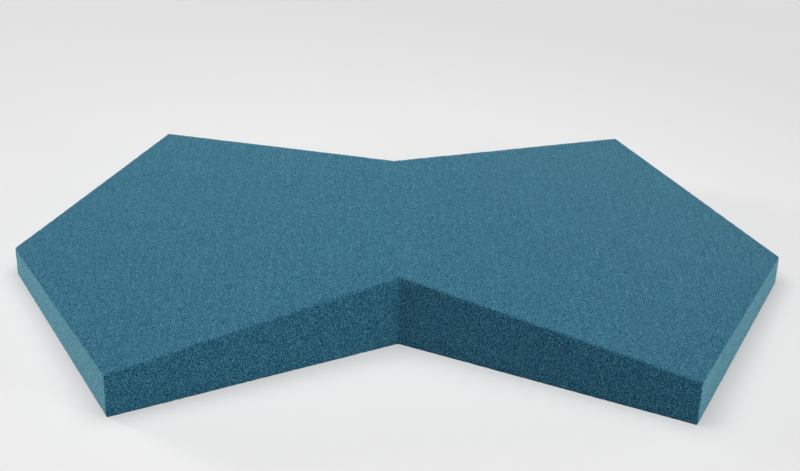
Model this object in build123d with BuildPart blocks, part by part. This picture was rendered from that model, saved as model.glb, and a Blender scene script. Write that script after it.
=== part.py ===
import os

from build123d import *

# Acoustic wall panel of soft foam, in millimetres.
# The real thing is one piece: a bow-tie outline of two mirrored five-sided halves that share a short waist.
# Its back is flat, its sides stand upright, and its front falls as one flat slope from a low ridge over the
# waist to the point at each end. +X runs along the length, +Z stands out of the wall, and the origin is at
# the centre of the back.

# Outline, each measured from the centre of the panel
half_length = 300.0  # to the point at each end
half_width = 200.0  # to the four shoulders, across the panel
shoulder_reach = 200.0  # to the four shoulders, along the panel
waist_half_width = 100.0  # to the bottom of each notch, across the panel

# Thickness
ridge_height = 56.0  # where the two slopes would meet over the waist
point_height = 23.0  # at the point of each end

# Softened edges
corner_radius = 1.2  # upright corners and the bottoms of the notches
rim_radius = 1.0  # edge round the front
back_edge_radius = 0.4  # edge round the back
ridge_radius = 30.0  # the soft break where the two slopes meet

with BuildPart() as foam_panel:
    # The upright sides follow one outline of eight corners.
    with BuildSketch(Plane.XY):
        with BuildLine():
            Polyline(
                (0, waist_half_width),
                (shoulder_reach, half_width),
                (half_length, 0),
                (shoulder_reach, -half_width),
                (0, -waist_half_width),
            )
            mirror(about=Plane.YZ)
        make_face()
    extrude(amount=ridge_height)

    # The front is cut to two slopes, seen from the side as a low gable with a rounded top.
    with BuildSketch(Plane.XZ):
        with BuildLine():
            FilletPolyline(
                (-half_length, 0),
                (-half_length, point_height),
                (0, ridge_height),
                (half_length, point_height),
                (half_length, 0),
                radius=[0, ridge_radius, 0],
            )
            Line((-half_length, 0), (half_length, 0))
        make_face()
    extrude(amount=half_width, both=True, mode=Mode.INTERSECT)

    fillet(foam_panel.edges().filter_by(Axis.Z), corner_radius)

    # The rim is every edge of the front that only one of its faces has. The rest lie between two of them.
    fronts = foam_panel.faces().filter_by(lambda face: face.normal_at().Z > 0.5)
    front_edges = fronts.edges()
    fillet([edge for edge in front_edges if front_edges.count(edge) == 1], rim_radius)

    back = foam_panel.faces().sort_by(Axis.Z)[0]
    fillet(back.edges(), back_edge_radius)

foam_panel.part.label = "foam_panel"

os.makedirs("parts", exist_ok=True)
export_step(foam_panel.part, "parts/foam_panel.step")
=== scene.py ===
import math

import bmesh
import bpy
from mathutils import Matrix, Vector, noise


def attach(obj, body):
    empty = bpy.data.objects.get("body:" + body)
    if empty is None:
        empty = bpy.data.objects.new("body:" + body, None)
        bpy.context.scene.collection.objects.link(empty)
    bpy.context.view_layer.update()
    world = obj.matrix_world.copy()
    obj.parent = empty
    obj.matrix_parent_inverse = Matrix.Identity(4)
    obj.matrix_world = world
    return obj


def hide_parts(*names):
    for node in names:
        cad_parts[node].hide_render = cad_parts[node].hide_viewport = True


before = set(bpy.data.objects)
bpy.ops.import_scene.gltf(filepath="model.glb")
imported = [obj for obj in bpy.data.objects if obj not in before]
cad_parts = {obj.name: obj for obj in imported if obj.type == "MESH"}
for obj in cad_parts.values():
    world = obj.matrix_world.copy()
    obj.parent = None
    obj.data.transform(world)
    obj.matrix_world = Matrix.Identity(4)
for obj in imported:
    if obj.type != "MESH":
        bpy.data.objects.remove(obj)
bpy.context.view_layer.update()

# The panel: one block of soft open-cell foam, dyed teal all through and wire-cut from a larger bun. Its
# bow-tie outline is cut straight down, its front is sliced to two slopes that fall from a low ridge over the
# waist, and its back is left flat for the adhesive. It has no cover, core or frame.
half_length = 0.300
half_width = 0.200
shoulder_reach = 0.200
waist_half_width = 0.100
ridge_height = 0.056
point_height = 0.023
ridge_radius = 0.030
edge_radius = 0.001
foot_radius = 0.0004

slope = (ridge_height - point_height) / half_length
ridge_half_run = ridge_radius * math.sin(math.atan(slope))
ridge_centre = ridge_height - ridge_radius * math.sqrt(1 + slope * slope)


def front_height(x):
    """How high the front stands over the back, a low gable with a rounded top."""
    if abs(x) < ridge_half_run:
        return ridge_centre + math.sqrt(ridge_radius * ridge_radius - x * x)
    return ridge_height - slope * abs(x)


# One quarter of the outline runs from the centre to the point, the shoulder and the notch. It is mirrored
# both ways and drawn up to the height of the ridge.
block = bmesh.new()
quarter = [
    block.verts.new((x, y, 0))
    for x, y in ((0, 0), (half_length, 0), (shoulder_reach, half_width), (0, waist_half_width))
]
block.faces.new(quarter)
for axis in ("X", "Y"):
    bmesh.ops.mirror(block, geom=block.faces[:] + block.edges[:] + block.verts[:], axis=axis, merge_dist=1e-6)
front = bmesh.ops.extrude_face_region(block, geom=block.faces[:], use_keep_orig=True)["geom"]
for vert in front:
    if isinstance(vert, bmesh.types.BMVert):
        vert.co.z = ridge_height
bmesh.ops.recalc_face_normals(block, faces=block.faces[:])

# A fine net over the block, with this many cuts along its length, across it and through its thickness.
net_cuts = (109, 83, 17)
for axis, cuts in enumerate(net_cuts):
    across = [
        edge
        for edge in block.edges
        if max(range(3), key=lambda i: abs(edge.verts[1].co[i] - edge.verts[0].co[i])) == axis
    ]
    bmesh.ops.subdivide_edges(block, edges=across, cuts=cuts, use_grid_fill=True)


def sharp_edges():
    """The edges where two cut faces of the block meet, at a turn of more than 0.3 radians."""
    sharp_turn = 0.3
    return [edge for edge in block.edges if edge.calc_face_angle() > sharp_turn]


def on_the_back(edge):
    """Whether an edge lies in the flat back."""
    return max(vert.co.z for vert in edge.verts) < 1e-6


def soften(edges, radius, steps):
    """Rounds sharp edges of the block and returns the points that the rounding made."""
    made = bmesh.ops.bevel(
        block,
        geom=edges,
        offset=radius,
        offset_type="OFFSET",
        affect="EDGES",
        segments=steps,
        profile=0.5,
        material=-1,
        clamp_overlap=True,
    )
    return made["verts"]


# The wire leaves every edge crisp, softened by only a millimetre, and the edge that lies on the wall by less.
softened = soften([edge for edge in sharp_edges() if not on_the_back(edge)], edge_radius, 3)
softened += soften([edge for edge in sharp_edges() if on_the_back(edge)], foot_radius, 2)
bmesh.ops.dissolve_degenerate(block, edges=block.edges[:], dist=1e-5)
rims = {vert for vert in softened if vert.is_valid}

# The front is sliced down to its two slopes. What lies under the rim follows in proportion.
for vert in block.verts:
    fall = ridge_height - front_height(vert.co.x)
    vert.co.z -= fall * min(1, max(0, vert.co.z / (ridge_height - edge_radius)))

# The cut faces wander a little, as the hot wire drags through soft foam, and small bits are missing from the
# rims. The back is pressed flat by whatever it lies on.
wire_drift = 0.00012
drift_length = 0.07
nibble = 0.0004
nibble_length = 0.0035
straight_down = -0.99
block.normal_update()
moves = []
for vert in block.verts:
    push = wire_drift * noise.noise(vert.co / drift_length)
    if vert in rims:
        push -= nibble * max(0, noise.noise(vert.co / nibble_length))
    if vert.normal.z < straight_down:
        push = 0
    moves.append((vert, vert.normal * push))
for vert, move in moves:
    vert.co += move
    vert.co.z = max(0, vert.co.z)

mesh = bpy.data.meshes.new("panel_foam")
block.to_mesh(mesh)
block.free()
for face in mesh.polygons:
    face.use_smooth = True
panel = bpy.data.objects.new("panel_foam", mesh)
bpy.context.scene.collection.objects.link(panel)

# The foam is matt and full of cut cells under a millimetre wide, drawn out a little through the thickness of
# the panel, the way the bun rose. Its colour is the cell grain with painted shade: the open middle of each
# cell is painted dark and deep, as the shade in a pit, and the struts between cells are pale.
cell_size = (0.00060, 0.00072, 0.00080)
pit_shade_colour = (0.000, 0.031, 0.070, 1)
wall_colour = (0.021, 0.121, 0.186, 1)
strut_colour = (0.079, 0.212, 0.300, 1)
# How far from the middle of a cell its pit, wall and strut lie, as shares of its size.
pit, wall, strut = 0.36, 0.54, 0.72
foam = bpy.data.materials.new("teal_foam")
foam.use_nodes = True
nodes, links = foam.node_tree.nodes, foam.node_tree.links
shader = nodes["Principled BSDF"]
place = nodes.new("ShaderNodeTexCoord")

grid = nodes.new("ShaderNodeVectorMath")
grid.operation = "DIVIDE"
grid.inputs[1].default_value = cell_size
links.new(place.outputs["Object"], grid.inputs[0])
cells = nodes.new("ShaderNodeTexVoronoi")
cells.inputs["Scale"].default_value = 1
links.new(grid.outputs["Vector"], cells.inputs["Vector"])

# The dye lies a little unevenly, in clouds a few centimetres wide.
dye_shift = 0.008
dye = nodes.new("ShaderNodeTexNoise")
dye.inputs["Scale"].default_value = 30
dye.inputs["Detail"].default_value = 2
links.new(place.outputs["Object"], dye.inputs["Vector"])
unevenness = nodes.new("ShaderNodeMapRange")
unevenness.inputs["From Min"].default_value = 0.3
unevenness.inputs["From Max"].default_value = 0.7
unevenness.inputs["To Min"].default_value = -dye_shift
unevenness.inputs["To Max"].default_value = dye_shift
links.new(dye.outputs["Fac"], unevenness.inputs["Value"])
from_middle = nodes.new("ShaderNodeMath")
from_middle.operation = "ADD"
links.new(cells.outputs["Distance"], from_middle.inputs[0])
links.new(unevenness.outputs["Result"], from_middle.inputs[1])

# The ramp paints shade into the pits, dark at the middle of each cell, and pales out to the struts, over the
# grain.
grain_and_pit_shade = nodes.new("ShaderNodeValToRGB")
grain_and_pit_shade.color_ramp.elements.new(wall)
tones = ((pit, pit_shade_colour), (wall, wall_colour), (strut, strut_colour))
for stop, (where, tone) in zip(grain_and_pit_shade.color_ramp.elements, tones):
    stop.position = where
    stop.color = tone
links.new(from_middle.outputs["Value"], grain_and_pit_shade.inputs["Fac"])
links.new(grain_and_pit_shade.outputs["Color"], shader.inputs["Base Color"])

# The pits sink in. Walls and struts catch the light at a low angle, and the pits far less.
relief_depth = 0.0002
sheen_starts, sheen_full = 0.30, 0.50
pit_sheen = 0.25
sheen_tint = (0.440, 0.890, 1.0, 1)
relief = nodes.new("ShaderNodeBump")
relief.inputs["Strength"].default_value = 1.0
relief.inputs["Distance"].default_value = relief_depth
links.new(cells.outputs["Distance"], relief.inputs["Height"])
links.new(relief.outputs["Normal"], shader.inputs["Normal"])
fuzz = nodes.new("ShaderNodeMapRange")
fuzz.inputs["From Min"].default_value = sheen_starts
fuzz.inputs["From Max"].default_value = sheen_full
fuzz.inputs["To Min"].default_value = pit_sheen
fuzz.inputs["To Max"].default_value = 1.0
links.new(cells.outputs["Distance"], fuzz.inputs["Value"])
links.new(fuzz.outputs["Result"], shader.inputs["Sheen Weight"])
shader.inputs["Sheen Roughness"].default_value = 0.3
shader.inputs["Sheen Tint"].default_value = sheen_tint
shader.inputs["Roughness"].default_value = 1.0
shader.inputs["Specular IOR Level"].default_value = 0.0
panel.data.materials.append(foam)

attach(panel, "root")
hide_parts("foam_panel")

# The floor: a sheet of pale matt paper, far wider than the panel. It takes the panel's shadow, and further
# out it fades to one even pale tone.
paper_tone = (0.76, 0.76, 0.76, 1)
backdrop_tone = (0.80, 0.80, 0.80, 1)
paper_radius = 8.0
fade_start = 0.35
fade_end = 1.2
evenness_near = 0.35
floor_mesh = bpy.data.meshes.new("floor")
sheet = bmesh.new()
bmesh.ops.create_circle(sheet, cap_ends=True, segments=64, radius=paper_radius)
sheet.to_mesh(floor_mesh)
sheet.free()
floor = bpy.data.objects.new("floor", floor_mesh)
bpy.context.scene.collection.objects.link(floor)


def looked_at(nodes, links):
    """Gives 1 where the eye looks, straight or by way of metal or glass, and 0 for the light on the panel."""
    ray = nodes.new("ShaderNodeLightPath")
    seen = ray.outputs["Is Camera Ray"]
    for kind in ("Is Glossy Ray", "Is Transmission Ray"):
        either = nodes.new("ShaderNodeMath")
        either.operation = "MAXIMUM"
        links.new(seen, either.inputs[0])
        links.new(ray.outputs[kind], either.inputs[1])
        seen = either.outputs["Value"]
    return seen


paper = bpy.data.materials.new("pale_paper")
paper.use_nodes = True
nodes, links = paper.node_tree.nodes, paper.node_tree.links
shader = nodes["Principled BSDF"]
shader.inputs["Base Color"].default_value = paper_tone
shader.inputs["Roughness"].default_value = 1.0
shader.inputs["Specular IOR Level"].default_value = 0.0
place = nodes.new("ShaderNodeTexCoord")
reach = nodes.new("ShaderNodeVectorMath")
reach.operation = "LENGTH"
links.new(place.outputs["Object"], reach.inputs[0])
even = nodes.new("ShaderNodeMapRange")
even.inputs["From Min"].default_value = fade_start
even.inputs["From Max"].default_value = fade_end
even.inputs["To Min"].default_value = evenness_near
even.inputs["To Max"].default_value = 1.0
links.new(reach.outputs["Value"], even.inputs["Value"])
share = nodes.new("ShaderNodeMath")
share.operation = "MULTIPLY"
links.new(looked_at(nodes, links), share.inputs[0])
links.new(even.outputs["Result"], share.inputs[1])
glow = nodes.new("ShaderNodeEmission")
glow.inputs["Color"].default_value = backdrop_tone
mixed = nodes.new("ShaderNodeMixShader")
links.new(share.outputs["Value"], mixed.inputs[0])
links.new(shader.outputs["BSDF"], mixed.inputs[1])
links.new(glow.outputs["Emission"], mixed.inputs[2])
links.new(mixed.outputs["Shader"], nodes["Material Output"].inputs["Surface"])
floor.data.materials.append(paper)

# The room past the floor has the same even tone, and throws no light of its own.
room = bpy.data.worlds.new("room")
bpy.context.scene.world = room
room.use_nodes = True
nodes, links = room.node_tree.nodes, room.node_tree.links
nodes["Background"].inputs["Color"].default_value = backdrop_tone
links.new(looked_at(nodes, links), nodes["Background"].inputs["Strength"])


# The light: six large soft boxes, one over the panel, one high in front, one high on the left, and three low
# down that light the end sides.
def soft_box(name, place, size, watts):
    """A square lamp of this size and power, turned towards the panel and hidden from the camera."""
    lamp = bpy.data.lights.new(name, "AREA")
    lamp.shape = "SQUARE"
    lamp.size = size
    lamp.energy = watts
    holder = bpy.data.objects.new(name, lamp)
    holder.location = place
    holder.rotation_euler = (-Vector(place)).to_track_quat("-Z", "Y").to_euler()
    holder.visible_camera = False
    bpy.context.scene.collection.objects.link(holder)


soft_box("top_box", (0.0, 0.0, 0.9), 0.8, 6.9)
soft_box("front_box", (0.0, -1.847, 2.364), 1.2, 23.9)
soft_box("left_box", (-0.892, 0.0, 1.678), 1.0, 5.8)
soft_box("low_left_box", (-2.559, 1.477, 0.521), 0.8, 68.0)
soft_box("low_right_box", (2.559, -1.477, 0.521), 0.8, 36.5)
soft_box("back_right_box", (2.559, 1.477, 0.521), 0.8, 15.5)

# The camera stands in front and above, a little left of the middle, where the photograph was taken from.
lens = bpy.data.cameras.new("camera")
lens.lens = 70.021
lens.sensor_width = 36.0
lens.shift_x = 0.088
camera = bpy.data.objects.new("camera", lens)
camera.location = (-0.03642, -1.07721, 0.60053)
camera.rotation_euler = (math.radians(62.389), math.radians(-0.251), math.radians(0.969))
bpy.context.scene.collection.objects.link(camera)
bpy.context.scene.camera = camera
bpy.context.scene.view_settings.view_transform = "Standard"
